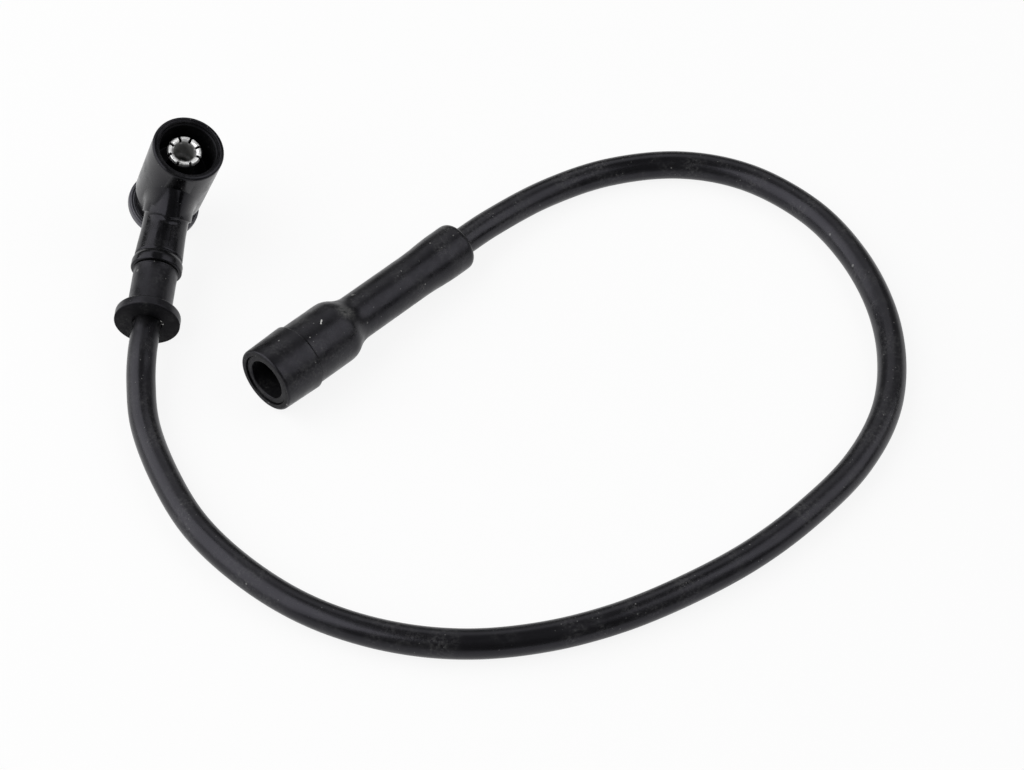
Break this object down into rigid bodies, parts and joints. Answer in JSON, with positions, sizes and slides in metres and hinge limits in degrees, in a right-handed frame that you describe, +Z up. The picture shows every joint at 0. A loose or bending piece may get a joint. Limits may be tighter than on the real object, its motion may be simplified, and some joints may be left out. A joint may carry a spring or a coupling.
{
  "type": "spark plug wire",
  "caption": "Black ignition lead with a right-angled plug connector, a round silicone cable laid in an open loop, and a straight rubber coil boot.",
  "frame": {"origin": "on the surface that the lead lies on, under the middle of the two connectors' common box", "axes": "+Z up; +X along the straight boot, from its mouth towards the cable; +Y towards the angled connector"},
  "size_m": [0.1831, 0.1927, 0.0338],
  "materials": {
    "connector_plastic": "hard black moulding, glossy with soft light bands",
    "boot_rubber": "matte black rubber with a little dust",
    "cable_jacket": "satin black silicone jacket",
    "spring_steel": "bright plated spring steel",
    "brass": "plain rolled brass"
  },
  "bodies": {
    "root": {"elbow_housing": "connector_plastic", "rear_cap": "connector_plastic", "neck_seal": "boot_rubber", "socket_clip": "spring_steel", "terminal_rivet": "spring_steel", "elbow_terminal": "brass", "cable_end_elbow": "cable_jacket", "ignition_cable": "cable_jacket", "cable_end_coil": "cable_jacket", "coil_boot": "boot_rubber", "boot_liner": "boot_rubber", "coil_terminal": "brass", "terminal_spring": "spring_steel"}
  },
  "joints": []
}
